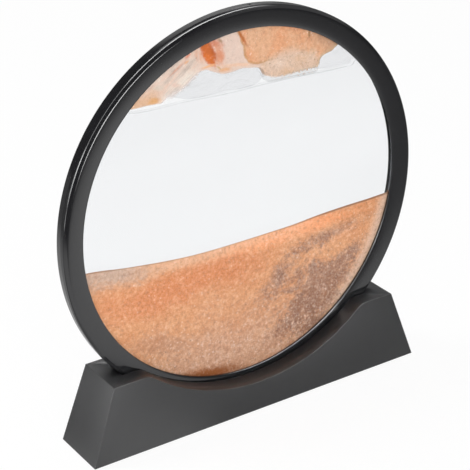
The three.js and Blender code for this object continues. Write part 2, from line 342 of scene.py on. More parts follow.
def satin_base_black():
    """Black moulded plastic with a fine even grain and slightly rubbed patches."""
    material, n = new_material("satin_base_black")
    grain = n.noise(n.place(), 2400, 3, 0.6)
    cloud = n.noise(n.place(), 34, 3, 0.55, 0.3)
    rubbed = n.rise(cloud, 0.45, 0.75)
    base = n.mix(rubbed, colour(25, 25, 26), colour(30, 30, 31))
    base = n.mix(n.rise(grain, 0.62, 0.8) * 0.3, base, colour(52, 52, 53))
    n.output(n.skin({
        "Base Color": base,
        "Roughness": 0.41 - rubbed * 0.05 + grain * 0.05,
        "IOR": 1.5,
        "Normal": n.bump(grain, 0.12, 0.05 * MM),
    }))
    return material


def clear_pane():
    """Clear glass: see-through face on, with a gloss that grows towards its edge-on view."""
    material, n = new_material("clear_pane")
    facing = n.node("ShaderNodeLayerWeight", None, {"Blend": 0.5}, "Facing")
    smear = n.noise(n.place(), 60, 3, 0.6, 0.6)
    gloss = n.skin({
        "Base Color": n.mix(smear, colour(225, 232, 232), colour(240, 244, 244)),
        "Roughness": 0.02 + smear * 0.04,
        "IOR": 1.5,
        "Metallic": 1.0,
    })
    share = 0.008 + smear * 0.008 + facing ** 5
    n.output(n.see_through((0.991, 0.993, 0.995), share, gloss))
    return material


def line_height(n, side, line):
    """How high a line of points lies, in metres from the disc's centre, over each place along X."""
    low, high = line[0][0], line[-1][0]
    floor = min(z for _, z in line)
    rise = max(z for _, z in line) - floor
    points = [((x - low) / (high - low), (z - floor) / rise) for x, z in line]
    share = n.node("ShaderNodeFloatCurve", {"curve_points": points}, {
        "Value": (side - low * MM) / ((high - low) * MM),
    })
    return share * (rise * MM) + floor * MM


def clear_fluid():
    """Clear liquid with a breath of fine dust in it and a thin dark line where it meets the air."""
    material, n = new_material("clear_fluid")
    haze = n.noise(n.place(), 30, 3, 0.6, 0.5)
    broken = n.noise(n.place(), 140, 2, 0.6)
    side, depth, up = n.apart(n.on_disc())
    height = up - line_height(n, side, LEVEL_LINE)
    at_pane = n.rise(abs(depth), FILL_HALF - 0.2 * MM, FILL_HALF - 0.1 * MM)
    to_right = n.rise(side, -30 * MM, 50 * MM)
    at_rear = n.rise(depth, 0.0, 0.2 * MM)
    line = n.rise(height, -0.42 * MM, -0.3 * MM) * at_pane
    line = line * (0.05 + to_right * 0.12 + broken * 0.22) * (1 - at_rear * 0.6)
    cloudy = n.rise(up, 22 * MM, 54 * MM) * 0.04 + n.rise(up, 14 * MM, -16 * MM) * 0.025
    dust = n.skin({
        "Base Color": n.mix(n.rise(line, 0.02, 0.1), colour(198, 200, 202), colour(126, 130, 136)),
        "Roughness": 0.3,
    })
    share = (0.002 + haze * 0.01 + cloudy).most(line)
    n.output(n.see_through((0.990, 0.991, 0.993), share, dust))
    return material


def air_pocket_haze():
    """The wet film on the glass round the trapped air."""
    material, n = new_material("air_pocket_haze")
    streak = n.noise(n.place(stretch=(1, 1, 0.4)), 60, 4, 0.6, 0.8)
    film = n.skin({
        "Base Color": n.mix(streak, colour(204, 205, 208), colour(220, 220, 221)),
        "Roughness": 0.3,
    })
    share = 0.015 + n.rise(streak, 0.4, 0.8) * 0.1
    n.output(n.see_through((0.942, 0.943, 0.947), share, film))
    return material


def grainy(n, base, depth, pale_share, dark_share, pale, dark):
    """Adds the sand's grain to a colour: uneven tone, and single pale and dark grains."""
    tone = n.noise(n.place(), 640, 5, 0.8)
    even = n.mix(n.rise(tone, 0.53, 0.3) * depth, base, colour(150, 98, 74))
    even = n.mix(n.rise(tone, 0.5, 0.72) * depth, even, colour(246, 210, 184))
    draw, share, _ = n.cells(1800)
    lit = n.mix(n.rise(draw + pale_share, 0.98, 1.02) * (0.1 + share * 0.4), even, pale)
    return n.mix(n.rise(draw - dark_share, 0.02, -0.02) * (0.1 + share * 0.45), lit, dark)


def sand_skin(n, tone, cover=1.0):
    """Dull, finely pitted sand that covers a share of what is behind it."""
    relief = n.noise(n.place(), 1500, 3, 0.65)
    return n.skin({
        "Base Color": tone,
        "Roughness": 0.75 + relief * 0.2,
        "Alpha": cover,
        "Normal": n.bump(relief, 0.12, 0.2 * MM),
        "Specular IOR Level": 0.2,
    })


class Brush:
    """Lays soft smears with grainy edges on the cell, placed in millimetres from the disc's centre."""

    def __init__(self, n, warp, grit):
        self.n = n
        self.warp = warp
        self.grit = grit

    def patch(self, x, z, wide, high, turn, inner):
        """An oval spot, full within its inner share and gone at its edge."""
        n = self.n
        about = n.place((x * MM, 0, DISC_Z + z * MM), turn, (wide * MM, 1, high * MM))
        return n.rise(n.length(n.sum(about, self.warp)) + self.grit, 1.0, inner)

    def smear(self, first, last, half_width, inner=0.2):
        """A long spot from one place to another."""
        along = (last[0] - first[0], last[1] - first[1])
        middle = ((first[0] + last[0]) / 2, (first[1] + last[1]) / 2)
        reach = math.hypot(*along) / 2 + half_width
        return self.patch(*middle, reach, half_width, -math.atan2(along[1], along[0]), inner)

    def paint(self, base, smears):
        """Lays smears of (first, last, half width, strength, tone) over a colour."""
        for first, last, half_width, strength, tone in smears:
            base = self.n.mix(self.smear(first, last, half_width) * strength, base, colour(*tone))
        return base


def wander(n, scale, amount):
    """A smooth random shift, for borders that wander."""
    drift = n.noise(n.place(), scale, 4, 0.6, 0.5, "Color")
    return n.scaled(n.sum(drift, (-0.5, -0.5, -0.5)), amount)


def bed_sand():
    """Settled sand: orange drifts over beige, with grey-violet ridges and pale specks, and painted shade
    along its top edge and under the ring's lip.
    """
    material, n = new_material("bed_sand")
    grit = (n.noise(n.place(), 700, 4, 0.75) - 0.5) * 1.1
    brush = Brush(n, wander(n, 42, 0.8), grit)
    broad = n.noise(n.place(stretch=(1, 1, 0.6)), 26, 5, 0.62, 0.8)
    mottle = n.noise(n.place(), 170, 4, 0.68, 0.4)
    side, _, up = n.apart(n.on_disc())

    base = n.mix(n.rise(broad, 0.3, 0.7), colour(212, 145, 98), colour(221, 160, 114))
    low = brush.patch(-8, -72, 84, 34, 0, 0.1)
    base = n.mix(low * 0.9, base, colour(206, 160, 131))
    base = brush.paint(base, [
        ((-92, -32), (26, -25), 14, 0.9, (214, 134, 84)),
        ((-20, -20), (66, -18), 6.5, 0.95, (246, 160, 105)),
        ((-92, -12), (-44, -17), 8, 0.85, (192, 168, 152)),
        ((-64, -15.5), (-6, -19), 4, 0.5, (214, 166, 136)),
        ((-62, -50), (-22, -60), 7, 0.45, (172, 130, 108)),
    ])
    ridges = sum(brush.smear(first, last, half_width, 0.0) for first, last, half_width in (
        ((8, -50), (30, -28), 9),
        ((24, -30), (72, -23), 6),
        ((44, -48), (70, -31), 6.5),
        ((24, -66), (58, -46), 11),
        ((20, -58), (60, -38), 8),
        ((8, -72), (48, -58), 9),
        ((18, -78), (48, -66), 7),
    ))
    haze = sum(brush.patch(x, z, wide, high, math.radians(turn), 0.0) for x, z, wide, high, turn in (
        (36, -48, 36, 24, -8),
        (42, -59, 30, 15, -38),
        (37, -40, 24, 10, -34),
    ))
    drifted = n.rise(n.noise(n.place(), 75, 4, 0.66, 0.6), 0.34, 0.62)
    grey = n.rise(ridges * (0.5 + drifted * 0.4) + haze * drifted * 0.9, 0.0, 1.0)
    base = n.mix(grey * 0.88, base, n.mix(mottle, colour(128, 97, 84), colour(170, 127, 104)))
    base = brush.paint(base, [
        ((33, -40), (38, -33.5), 1.4, 0.8, (230, 172, 132)),
        ((37, -34), (47, -31.6), 1.3, 0.8, (230, 172, 132)),
        ((45, -32.4), (69, -21.5), 1.5, 0.7, (230, 168, 126)),
    ])
    radius = n.length(n.on_disc())
    rim = n.rise(radius, 73.5 * MM, 80 * MM) * n.rise(side, 38 * MM, 56 * MM)
    base = n.mix(rim * 0.8, base, colour(224, 194, 172))
    clump = n.rise(n.noise(n.place(), 420, 3, 0.6), 0.52, 0.72)
    base = n.mix(clump * (low * 0.45 + grey * 0.25), base, colour(232, 204, 186))
    base = n.mix(n.rise(mottle, 0.48, 0.72) * 0.25, base, colour(236, 186, 148))
    right_part = n.rise(side, 5 * MM, 60 * MM)
    below_line = (line_height(n, side, BED_LINE) - up) / (1 + right_part * 1.3)
    under_edge = n.rise(below_line + grit * MM, 7.5 * MM, 1.5 * MM)
    under_edge = under_edge * n.rise(side, -66 * MM, -34 * MM) * (1 - right_part)
    base = n.mix(under_edge * 0.6, base, colour(236, 188, 152))
    brown = brush.smear((-46, -74), (2, -80.5), 5)
    base = n.mix(brown * 0.95, base, colour(150, 84, 38))

    sand = grainy(
        n, base, 0.5 + grey * 0.22 + low * 0.12 - brown * 0.35, (0.03 + low * 0.05) * (1 - brown),
        0.01 + grey * 0.08, colour(246, 226, 210), colour(84, 66, 64),
    )
    # Painted shadow under the ring's lip: the sand turns dark brown at the cell's outer edge.
    shaded = n.rise(radius, 80.8 * MM, 81.4 * MM)
    sand = n.mix(shaded * 0.92, sand, colour(62, 38, 24))
    # Painted shade: a thin dark brown line along the sand's top edge.
    top_edge_shade = n.rise(below_line, 0.6 * MM, 0.2 * MM)
    sand = n.mix(top_edge_shade * (0.5 + right_part * 0.3), sand, colour(124, 90, 70))
    n.output(sand_skin(n, sand))
    return material


def caught_sand():
    """Hanging sand: a peach mass with a ragged fringe, pale smears and an orange whirl."""
    material, n = new_material("caught_sand")
    grit = (n.noise(n.place(), 900, 3, 0.7) - 0.5) * 0.6
    brush = Brush(n, wander(n, 130, 0.9), grit)
    side, _, up = n.apart(n.on_disc())
    combed = n.noise(n.place(turn=math.radians(-36), stretch=(1, 1, 0.14)), 75, 4, 0.62, 0.5)
    soft = n.noise(n.place(), 90, 4, 0.6, 0.4)

    left_part = n.rise(side, -20 * MM, -26 * MM)
    pale = n.mix(left_part, colour(222, 198, 184), colour(226, 206, 192))
    base = n.mix(n.rise(combed, 0.4, 0.66) * (0.1 + left_part * 0.4), pale, colour(218, 176, 154))
    base = brush.paint(base, [
        ((-36, 60), (-24, 68), 4.0, 0.8, (232, 222, 210)),
        ((-62, 54), (-41, 62), 5.5, 0.95, (218, 178, 146)),
        ((-46, 58.4), (-41.4, 58.2), 2.2, 0.9, (218, 164, 108)),
        ((-44, 64.2), (-39, 62.6), 1.8, 0.6, (206, 196, 184)),
        ((-35, 63.4), (-31, 62.2), 1.6, 0.6, (222, 186, 168)),
        ((-38, 60.5), (-31, 61), 1.8, 0.6, (212, 194, 182)),
        ((-38, 66), (-27.5, 73), 0.9, 0.7, (204, 152, 130)),
        ((-28.6, 73.2), (-26, 74.8), 1.0, 0.8, (222, 138, 110)),
        ((-29.2, 71.2), (-27, 72), 0.8, 0.7, (226, 164, 112)),
        ((-26.5, 75.6), (-18.5, 80), 1.8, 0.9, (212, 136, 100)),
        ((-18.5, 79.5), (-11, 75.4), 3.0, 0.9, (208, 130, 98)),
        ((-12.8, 74.6), (-11, 67.8), 3.4, 0.95, (212, 142, 108)),
        ((-24, 76), (-19.5, 70), 2.6, 0.6, (222, 164, 130)),
    ])
    base = n.mix(brush.smear((-20, 79), (-15.2, 69), 3.6, 0.5), base, colour(200, 106, 52))
    base = brush.paint(base, [
        ((-18.6, 73), (-16.4, 69.8), 2.0, 0.8, (216, 116, 52)),
        ((-16.6, 77), (-13.6, 70.4), 1.4, 0.7, (178, 88, 42)),
        ((-22.4, 76), (-21.6, 69), 0.7, 0.7, (220, 196, 182)),
        ((-12.2, 78.2), (-10.6, 77), 1.0, 0.7, (146, 114, 68)),
        ((-21, 67.4), (-13.5, 68), 0.9, 0.9, (232, 178, 134)),
        ((-14, 67), (8, 63.8), 1.1, 0.8, (230, 190, 160)),
        ((-12, 64.8), (-6.5, 64.4), 1.6, 0.9, (222, 170, 128)),
        ((-13.4, 67), (-11, 65), 0.6, 0.7, (190, 154, 98)),
    ])

    lean = n.rise(up, 72 * MM, 80 * MM) * (3 * MM)
    corner_x = ((9 * MM - side - lean) / (9 * MM)).most(0)
    corner_z = ((70.3 * MM - up) / (6.2 * MM)).most(0)
    open_side = n.rise(side, 9 * MM, 18 * MM)
    waver = (soft - 0.5) * (0.4 + open_side * 0.5) + grit * 0.3
    mass_reach = (corner_x ** 2 + corner_z ** 2) ** 0.5 + waver
    mass = n.rise(mass_reach, 1.04 + open_side * 0.25, 0.94 - open_side * 0.8)
    mass = mass.most(brush.smear((34, 70), (54, 62), 7.5, 0.5))
    tone = n.noise(n.place(stretch=(1, 1, 1.4)), 70, 5, 0.66, 0.4)
    mass_tone = n.mix(n.rise(tone, 0.35, 0.65), colour(221, 157, 115), colour(220, 173, 138))
    mass_tone = brush.paint(mass_tone, [
        ((18, 79), (32, 75), 2.6, 0.7, (224, 145, 102)),
        ((36, 71), (56, 62), 7.0, 0.95, (196, 154, 124)),
        ((33.7, 73.4), (33.9, 70), 0.8, 0.8, (138, 104, 62)),
    ])
    fringe_tone = n.mix(n.rise(soft, 0.35, 0.6), colour(214, 178, 148), colour(219, 191, 170))
    beyond = n.rise(side, 7 * MM, 11 * MM)
    fringe = beyond * (1 - mass)
    fringe_tone = n.mix(brush.smear((12, 62), (24, 61), 3.4) * 0.6, fringe_tone, colour(228, 203, 184))
    base = n.mix(beyond, base, fringe_tone)
    base = n.mix(mass, base, mass_tone)
    edge_line = n.rise(abs(mass_reach - 0.97), 0.12, 0.02) * (1 - open_side)
    base = n.mix(edge_line * 0.6, base, colour(190, 142, 90))
    base = brush.paint(base, [((-2.8, 81), (2, 72), 1.1, 0.95, (180, 98, 42))])

    height = up - line_height(n, side, HANGING_LINE)
    low_edge = n.rise(height, 3.5 * MM, 0.5 * MM)
    right_part = n.rise(side, 16 * MM, 26 * MM)
    base = n.mix(low_edge * right_part * 0.6, base, colour(186, 166, 138))
    sand = grainy(
        n, base, 0.18 + mass * 0.18 + fringe * 0.16, 0.02, 0.006 + right_part * 0.014 + fringe * 0.03,
        colour(248, 234, 224), colour(146, 118, 98),
    )

    hairs = n.noise(n.place(stretch=(1, 1, 5)), 900, 3, 0.6)
    ragged = n.noise(n.place(), 260, 4, 0.7)
    in_fringe = beyond * n.rise(side, 41 * MM, 37 * MM)
    smeared = left_part * n.rise(side, -41 * MM, -37 * MM)
    bite = in_fringe * n.rise(hairs, 0.3, 0.7) * 0.9 + smeared * ragged * 1.6 + 0.2
    fade = in_fringe * 0.9 + smeared * 3.2 + 0.6
    cover = n.rise(height / MM - bite, 0.0, fade)
    thin = n.rise(n.noise(n.place(), 900, 3, 0.75), 0.5, 0.66)
    cover = cover * (1 - fringe * thin * 0.12) * (1 - smeared * n.rise(combed, 0.55, 0.3) * 0.35)
    bare = n.rise(cover, 0.2, 0.05) * in_fringe
    sand = n.mix(bare, sand, colour(128, 129, 132))
    cover = cover.most(in_fringe * 0.1)
    n.output(sand_skin(n, sand, cover))
    return material


def loose_grain():
    """Single grains of sand, each of its own tone."""
    material, n = new_material("loose_grain")
    draw, tone, _ = n.cells(900)
    base = n.mix(tone, colour(206, 158, 122), colour(226, 196, 170))
    base = n.mix(n.rise(draw, 0.7, 0.75), base, colour(158, 124, 102))
    n.output(n.skin({"Base Color": base, "Roughness": 0.6 + tone * 0.3}))
    return material


def spacer_plastic():
    """Plain grey plastic strip with faint saw marks."""
    material, n = new_material("spacer_plastic")
    marks = n.noise(n.place(stretch=(1, 0.1, 1)), 500, 3, 0.6)
    n.output(n.skin({
        "Base Color": n.mix(marks, colour(96, 98, 102), colour(128, 130, 134)),
        "Roughness": 0.45 + marks * 0.15,
    }))
    return material


def black_rubber(name, dark, light):
    """Matte rubber with a dusty bloom."""
    material, n = new_material(name)
    bloom = n.noise(n.place(), 300, 4, 0.65)
    n.output(n.skin({
        "Base Color": n.mix(n.rise(bloom, 0.35, 0.75), dark, light),
        "Roughness": 0.72 + bloom * 0.2,
        "Normal": n.bump(bloom, 0.25, 0.1 * MM),
    }))
    return material


def plated_screw():
    """Plated steel with turning marks and a trace of wear."""
    material, n = new_material("plated_screw")
    wear = n.noise(n.place(), 700, 4, 0.6)
    n.output(n.skin({
        "Base Color": n.mix(wear, colour(196, 196, 198), colour(216, 216, 216)),
        "Metallic": 1.0,
        "Roughness": 0.24 + wear * 0.2,
    }))
    return material


# Pieces


def add_piece(name, shape, material, body, replaced=()):
    """Makes a bmesh into a shaded object that rides on a body and stands for CAD nodes."""
    mesh = bpy.data.meshes.new(name)
    shape.to_mesh(mesh)
    shape.free()
    mesh.shade_smooth()
    mesh.set_sharp_from_angle(angle=SMOOTH_ANGLE)
    mesh.materials.append(material)
    piece = bpy.data.objects.new(name, mesh)
    bpy.context.scene.collection.objects.link(piece)
    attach(piece, body)
    if replaced:
        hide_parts(*replaced)


def finish_node(name, material):
    """Gives a carried-over CAD node its material."""
    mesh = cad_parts[name].data
    mesh.materials.clear()
    mesh.materials.append(material)


def turned(outline):
    """A ring turned about the disc's axis from its outline of (radius, depth) points."""
    ring = bmesh.new()
    corners = [ring.verts.new((radius, depth, DISC_Z)) for radius, depth in outline]
    sides = [ring.edges.new((corners[i - 1], corners[i])) for i in range(len(corners))]
    bmesh.ops.spin(
        ring, geom=corners + sides, cent=(0, 0, DISC_Z), axis=(0, 1, 0),
        angle=math.tau, steps=TURN_SEGMENTS, use_merge=True,
    )
    bmesh.ops.recalc_face_normals(ring, faces=ring.faces)
    return ring


def ease_circle(ring, radius, depth, width, steps=EASE_STEPS):
    """Rounds a turned ring's circular edge, or cuts it off flat in one step."""
    def on_circle(vertex):
        reach = math.hypot(vertex.co.x, vertex.co.z - DISC_Z)
        return abs(reach - radius) < SAME_PLACE and abs(vertex.co.y - depth) < SAME_PLACE

    edges = [edge for edge in ring.edges if all(on_circle(vertex) for vertex in edge.verts)]
    bmesh.ops.bevel(
        ring, geom=edges, offset=width, segments=steps, profile=0.5, affect="EDGES", material=-1
    )


def from_shape(shape, name="shaping"):
    """An object made of a bmesh, to be cut or to cut with."""
    mesh = bpy.data.meshes.new(name)
    shape.to_mesh(mesh)
    shape.free()
    body = bpy.data.objects.new(name, mesh)
    bpy.context.scene.collection.objects.link(body)
    return body


def discard(body):
    """Removes a shaping object with its mesh."""
    mesh = body.data
    bpy.data.objects.remove(body)
    bpy.data.meshes.remove(mesh)


def combined(shape, tool, operation):
    """The bmesh left when a tool cuts or limits a shape."""
    body = from_shape(shape)
    cutter = from_shape(tool)
    step = body.modifiers.new("cut", "BOOLEAN")
    step.operation = operation
    step.solver = "EXACT"
    step.object = cutter
    seen = body.evaluated_get(bpy.context.evaluated_depsgraph_get())
    result = bmesh.new()
    result.from_mesh(seen.to_mesh())
    seen.to_mesh_clear()
    discard(body)
    discard(cutter)
    bmesh.ops.remove_doubles(result, verts=result.verts, dist=WELD_REACH)
    return result


def bezel(side, lip_radius, draft, seam, step_inner, step_outer, step_depth):
    """One half of the ring: seat, faceted lip, crowned face, shoulder, rim and the step at its seam."""
    face = []
    for i in range(1, FACE_STEPS):
        share = i / FACE_STEPS
        crown = FACE_CROWN * 4 * share * (1 - share)
        radius = lip_radius + (CREST_RADIUS - lip_radius) * share
        face.append((radius, side * (LIP_FACE + (CREST_FACE - LIP_FACE) * share + crown)))
    ring = turned([
        (SEAT_RADIUS, seam),
        (SEAT_RADIUS, side * PANE_OUTER_FACE),
        (lip_radius, side * PANE_OUTER_FACE),
        (lip_radius, side * (LIP_FACE - LIP_FACET_DROP)),
        (lip_radius + LIP_FACET_RUN, side * LIP_FACE),
        *face,
        (CREST_RADIUS, side * CREST_FACE),
        (RING_RADIUS - draft, side * RIM_HALF),
        (RING_RADIUS, seam),
        (step_outer, seam),
        (step_outer, step_depth),
        (step_inner, step_depth),
        (step_inner, seam),
    ])
    ease_circle(ring, CREST_RADIUS, side * CREST_FACE, SHOULDER_EASE)
    ease_circle(ring, RING_RADIUS - draft, side * RIM_HALF, SHOULDER_EASE)
    ease_circle(ring, lip_radius, side * (LIP_FACE - LIP_FACET_DROP), LIP_EASE, LIP_EASE_STEPS)
    ease_circle(ring, lip_radius + LIP_FACET_RUN, side * LIP_FACE, LIP_EASE, LIP_EASE_STEPS)
    ease_circle(ring, RING_RADIUS, seam, SEAM_EASE, FLAT_EASE_STEPS)
    return ring


def plug_hole():
    """The round cutter for the fill hole in the rim."""
    hole = bmesh.new()
    out = Vector((math.cos(PLUG_ANGLE), 0, math.sin(PLUG_ANGLE)))
    middle = Vector((0, PLUG_Y, DISC_Z)) + out * RING_RADIUS
    bmesh.ops.create_cone(
        hole, cap_ends=True, segments=PLUG_HOLE_SEGMENTS,
        radius1=PLUG_HOLE_RADIUS, radius2=PLUG_HOLE_RADIUS, depth=PLUG_HOLE_REACH,
        matrix=Matrix.Translation(middle) @ out.to_track_quat("Z", "Y").to_matrix().to_4x4(),
    )
    return hole


def flat_ring(inner, outer, near, far, ease):
    """A plain ring of rectangular section with its inner edges rounded."""
    ring = turned([(inner, near), (outer, near), (outer, far), (inner, far)])
    ease_circle(ring, inner, near, ease)
    ease_circle(ring, inner, far, ease)
    return ring


def line_mesh(run, half_depth):
    """A plate whose edge runs through (x, z, smooth) points, bending gently at the smooth ones."""
    curve = bpy.data.curves.new("line", "CURVE")
    curve.dimensions = "2D"
    curve.fill_mode = "BOTH"
    curve.extrude = half_depth
    curve.resolution_u = LINE_STEPS
    spline = curve.splines.new("BEZIER")
    spline.bezier_points.add(len(run) - 1)
    for point, (x, z, smooth) in zip(spline.bezier_points, run):
        point.co = (x * MM, z * MM, 0)
        kind = "AUTO" if smooth else "VECTOR"
        point.handle_left_type = kind
        point.handle_right_type = kind
    spline.use_cyclic_u = True
    body = bpy.data.objects.new("line", curve)
    bpy.context.scene.collection.objects.link(body)
    mesh = bpy.data.meshes.new_from_object(body.evaluated_get(bpy.context.evaluated_depsgraph_get()))
    bpy.data.objects.remove(body)
    bpy.data.curves.remove(curve)
    shape = bmesh.new()
    shape.from_mesh(mesh)
    bpy.data.meshes.remove(mesh)
    bmesh.ops.transform(
        shape, verts=shape.verts,
        matrix=Matrix.Translation((0, 0, DISC_Z)) @ Matrix.Rotation(math.pi / 2, 4, "X"),
    )
    bmesh.ops.remove_doubles(shape, verts=shape.verts, dist=WELD_REACH)
    bmesh.ops.recalc_face_normals(shape, faces=shape.faces)
    return shape


def round_plate(radius, half_depth, middle):
    """A plain disc about the disc's axis."""
    plate = bmesh.new()
    bmesh.ops.create_cone(
        plate, cap_ends=True, segments=TURN_SEGMENTS,
        radius1=radius, radius2=radius, depth=2 * half_depth,
        matrix=Matrix.Translation((0, middle, DISC_Z)) @ Matrix.Rotation(math.pi / 2, 4, "X"),
    )
    return plate


def run_out(line):
    """The line as a smooth run that goes on past the cell's wall and has a corner at each end."""
    (first_x, first_z), (last_x, last_z) = line[0], line[-1]
    return [
        (first_x - 2 * LINE_RUN_OUT, first_z, False),
        (first_x - LINE_RUN_OUT, first_z, True),
        *((x, z, True) for x, z in line),
        (last_x + LINE_RUN_OUT, last_z, True),
        (last_x + 2 * LINE_RUN_OUT, last_z, False),
    ]


def raised(line, amount):
    """The line, moved up."""
    return [(x, z + amount) for x, z in line]


def fill_plate(line, closing, half_depth=FILL_HALF, middle=0.0):
    """A plate of the fill: the part of a disc between a line and its closing run."""
    outline = line_mesh(run_out(line) + closing, 2 * PANE_INNER_FACE)
    return combined(round_plate(FILL_RADIUS, half_depth, middle), outline, "INTERSECT")


def sloped_back(plate, drop):
    """Lets the plate's upper edge fall away towards the rear pane."""
    def on_rear_line(vertex):
        reach = math.hypot(vertex.co.x, vertex.co.z - DISC_Z)
        return vertex.co.y > 0 and reach < FILL_RADIUS - WALL_REACH

    rear_line = [vertex for vertex in plate.verts if on_rear_line(vertex)]
    bmesh.ops.translate(plate, verts=rear_line, vec=(0, 0, -drop))
    return plate


def back_along(line):
    """The closing run that leads back along another line."""
    return list(reversed(run_out(line)))


def loose_grains(draws, places):
    """Single grains that stick to the front pane, at (x, z, share of full size)."""
    grains = bmesh.new()
    for x, z, share in places:
        radius = GRAIN_LEAST_RADIUS + GRAIN_MORE_RADIUS * share
        turn = Matrix.Rotation(draws.uniform(0, math.tau), 4, (draws.random(), draws.random(), 1))
        sides = [draws.uniform(GRAIN_LEAST_SIDE, most) for most in GRAIN_MOST_SIDES]
        flat = Matrix.Diagonal((*sides, 1))
        spot = Matrix.Translation((x * MM, -FILL_HALF + radius, DISC_Z + z * MM))
        bmesh.ops.create_icosphere(grains, subdivisions=1, radius=radius, matrix=spot @ flat @ turn)
    return grains


def height_on(line, x):
    """The height of a line of points at x."""
    for (x0, z0), (x1, z1) in zip(line, line[1:]):
        if x0 <= x <= x1:
            return z0 + (z1 - z0) * (x - x0) / (x1 - x0)
    return line[0][1] if x < line[0][0] else line[-1][1]


def above_level(line):
    """The line, lifted clear of the liquid's surface where it would dip into it."""
    return [(x, max(z, height_on(LEVEL_LINE, x) + LEVEL_CLEARANCE)) for x, z in line]


def grain_places(draws):
    """Grains that drop out of the hanging sand, thickest right under it."""
    places = []
    for first, last, count, spread in GRAIN_FALLS:
        for _ in range(count):
            x = draws.uniform(first, last)
            z = height_on(HANGING_LINE, x) + GRAIN_START - draws.random() ** 2 * spread
            lowest = height_on(LEVEL_LINE, x) + GRAIN_CLEARANCE
            places.append((x, max(z, lowest), draws.random()))
    return places


def base_shell():
    """The moulded base with its sharp outer edges rounded."""
    shell = bmesh.new()
    shell.from_mesh(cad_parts["base_shell"].data)
    bmesh.ops.remove_doubles(shell, verts=shell.verts, dist=SHELL_WELD_REACH)
    bmesh.ops.dissolve_limit(
        shell, angle_limit=FLAT_ANGLE, verts=shell.verts, edges=shell.edges,
        use_dissolve_boundaries=False,
    )

    def skin(edge):
        middle = (edge.verts[0].co + edge.verts[1].co) / 2
        up = (middle.z - shell_low.z) / (shell_high.z - shell_low.z)
        half_depth = shell_high.y + (BASE_TOP_HALF_DEPTH - shell_high.y) * up
        half_length = shell_high.x + (BASE_TOP_HALF_LENGTH - shell_high.x) * up
        return abs(middle.y) > half_depth - SKIN_REACH or abs(middle.x) > half_length - SKIN_REACH

    def sharp(edge):
        return len(edge.link_faces) == 2 and edge.is_convex and edge.calc_face_angle() > SHARP_EDGE

    outer = [edge for edge in shell.edges if sharp(edge) and skin(edge)]
    bmesh.ops.bevel(
        shell, geom=outer, offset=BASE_EDGE_EASE, segments=EASE_STEPS,
        profile=0.5, affect="EDGES", material=-1,
    )
    return shell


ring_finish = polished_ring_black()
base_finish = satin_base_black()
rubber_finish = black_rubber("foot_rubber", colour(38, 38, 38), colour(58, 57, 56))
seal_finish = black_rubber("seal_rubber", colour(22, 22, 22), colour(40, 40, 40))

add_piece(
    "front_ring_half",
    bezel(-1, FRONT_LIP_RADIUS, FRONT_DRAFT, SEAM_Y, TONGUE_INNER - TONGUE_CLEARANCE,
          TONGUE_OUTER + TONGUE_CLEARANCE, SEAM_Y - TONGUE_HEIGHT - TONGUE_CLEARANCE),
    ring_finish, "disc", ["front_bezel"],
)
rear_half = bezel(
    1, REAR_LIP_RADIUS, REAR_DRAFT, SEAM_Y, TONGUE_INNER, TONGUE_OUTER, SEAM_Y - TONGUE_HEIGHT
)
add_piece(
    "rear_ring_half", combined(rear_half, plug_hole(), "DIFFERENCE"),
    ring_finish, "disc", ["rear_bezel"],
)
add_piece(
    "spacer_strip",
    flat_ring(CELL_RADIUS, SPACER_RADIUS, -SPACER_HALF, SPACER_HALF, SPACER_EASE),
    spacer_plastic(), "disc", ["spacer_ring"],
)
for side, node in ((-1, "front_seal"), (1, "rear_seal")):
    near, far = sorted((side * SPACER_HALF, side * PANE_INNER_FACE))
    add_piece(
        node + "_ring",
        flat_ring(CELL_RADIUS, SPACER_RADIUS, near, far, SEAL_EASE),
        seal_finish, "disc", [node],
    )

pane_finish = clear_pane()
finish_node("front_glass", pane_finish)
finish_node("rear_glass", pane_finish)
finish_node("fill_plug", rubber_finish)

add_piece(
    "settled_sand", sloped_back(fill_plate(BED_LINE, BELOW_CELL), BED_BACK_DROP),
    bed_sand(), "fill", ["sand_bed"],
)
add_piece(
    "caught_sand", fill_plate(above_level(raised(HANGING_LINE, -HANGING_MARGIN)), ABOVE_CELL),
    caught_sand(), "fill", ["hanging_sand"],
)
draws = random.Random(GRAIN_SEED)
add_piece("loose_grains", loose_grains(draws, grain_places(draws)), loose_grain(), "fill")
add_piece(
    "clear_liquid_plate", fill_plate(LEVEL_LINE, back_along(raised(BED_LINE, LAYER_GAP))),
    clear_fluid(), "fill", ["clear_liquid"],
)
add_piece(
    "air_film",
    fill_plate(FILM_LINE, ABOVE_CELL, FILM_HALF, FILM_Y),
    air_pocket_haze(), "fill",
)
add_piece("moulded_base", base_shell(), base_finish, "base", ["base_shell"])
finish_node("bottom_cover", base_finish)
screw_finish = plated_screw()
for side in ("left", "right"):
    finish_node("cover_screw_" + side, screw_finish)
    for end in ("front", "rear"):
        finish_node("foot_" + end + "_" + side, rubber_finish)


# Studio

CAMERA_PLACE = Vector((-0.3520, -0.52325, 0.38721))
CAMERA_YAW = math.radians(33.59)
CAMERA_PITCH = math.radians(25.83)
CAMERA_ROLL = math.radians(-0.61)
FOCAL_PIXELS = 1599.3
FRAME_PIXELS = 470
SENSOR_WIDTH = 36
FLOOR_HALF = 4.0
FLOOR_TONE = (0.92, 0.92, 0.92, 1)
FLOOR_WHITE_SHARE = 0.92
FLOOR_LEVEL = 0.42
FLOOR_REAR_LEVEL = 0.33
FLOOR_END_LEVEL = 6
MATT_LEVEL = 0.58
ROOM_LEVEL = 0.06
BACKDROP_LEVEL = 0.66
RIGHT_GLOW_LEVEL = 0.55
CARD_LEVEL = 6.5
HOOP_LEVEL = 20
STRIP_LEVEL = 20
WHITE = (1, 1, 1, 1)


